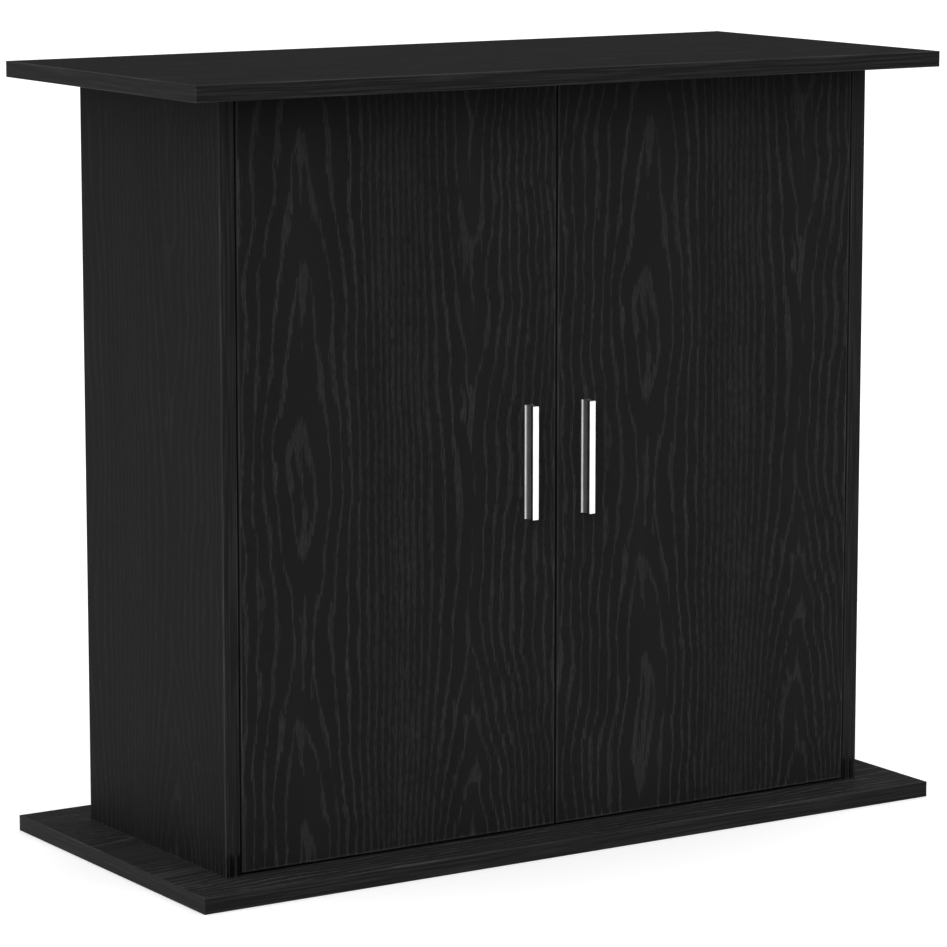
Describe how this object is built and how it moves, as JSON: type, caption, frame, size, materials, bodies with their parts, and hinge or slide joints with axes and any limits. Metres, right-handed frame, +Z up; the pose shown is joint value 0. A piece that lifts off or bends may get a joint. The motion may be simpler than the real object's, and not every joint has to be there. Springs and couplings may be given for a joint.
{
  "type": "aquarium stand cabinet",
  "caption": "Aquarium stand cabinet with overhanging top and base boards, inset doors on concealed cup hinges, slim bar handles and a partitioned interior with shelves.",
  "frame": {"origin": "middle of the base board's underside, on the floor", "axes": "+X to the right seen from the front, -Y to the front where the doors are, +Z up"},
  "size_m": [0.81, 0.36, 0.73],
  "materials": {
    "board_foil": "matt oak-grain foil, black",
    "edge_band": "satin grain edge band, black",
    "back_board": "painted hardboard, black",
    "chrome": "polished",
    "satin_metal": "satin",
    "hinge_steel": "nickel plated",
    "screw_steel": "zinc plated",
    "zinc": "cast zinc",
    "beech": "fluted beech, raw",
    "bumper": "soft matt"
  },
  "bodies": {
    "cabinet": {"back_panel": "back_board", "back_panel_nails": "screw_steel", "base_board": "board_foil", "base_edge_bands": "edge_band", "cam_bolts": "screw_steel", "cam_locks": "zinc", "centre_partition": "board_foil", "door_bumpers": "bumper", "dowels": "beech", "hinge_arm_pins": "screw_steel", "hinge_arm_screws": "screw_steel", "hinge_arms": "hinge_steel", "hinge_plate_screws": "screw_steel", "hinge_plates": "hinge_steel", "left_shelf": "board_foil", "left_side_panel": "board_foil", "partition_edge_band": "edge_band", "right_shelf": "board_foil", "right_side_panel": "board_foil", "shelf_edge_bands": "edge_band", "shelf_pins": "screw_steel", "side_edge_bands": "edge_band", "top_board": "board_foil", "top_edge_bands": "edge_band"},
    "left_links": {"left_hinge_links": "hinge_steel"},
    "left_door": {"left_cup_pins": "screw_steel", "left_cup_screws": "screw_steel", "left_door": "board_foil", "left_door_edge_bands": "edge_band", "left_handle_bar": "chrome", "left_handle_base": "satin_metal", "left_handle_screws": "screw_steel", "left_hinge_cups": "hinge_steel"},
    "right_links": {"right_hinge_links": "hinge_steel"},
    "right_door": {"right_cup_pins": "screw_steel", "right_cup_screws": "screw_steel", "right_door": "board_foil", "right_door_edge_bands": "edge_band", "right_handle_bar": "chrome", "right_handle_base": "satin_metal", "right_handle_screws": "screw_steel", "right_hinge_cups": "hinge_steel"}
  },
  "joints": [
    {"name": "left_link_swing", "type": "hinge", "parent": "cabinet", "child": "left_links", "pos_m": [-0.3044, -0.1196, 0.365], "axis": [0, 0, 1], "range_deg": [0, 52.3]},
    {"name": "left_door_hinge", "type": "hinge", "parent": "left_links", "child": "left_door", "pos_m": [-0.3305, -0.12, 0.365], "axis": [0, 0, -1], "range_deg": [0, 147.25]},
    {"name": "right_link_swing", "type": "hinge", "parent": "cabinet", "child": "right_links", "pos_m": [0.3044, -0.1196, 0.365], "axis": [0, 0, -1], "range_deg": [0, 52.3]},
    {"name": "right_door_hinge", "type": "hinge", "parent": "right_links", "child": "right_door", "pos_m": [0.3305, -0.12, 0.365], "axis": [0, 0, 1], "range_deg": [0, 147.25]}
  ],
  "couplings": [
    {"joint": "left_link_swing", "follows": "left_door_hinge", "ratio": 0.35484},
    {"joint": "right_link_swing", "follows": "right_door_hinge", "ratio": 0.35484}
  ]
}
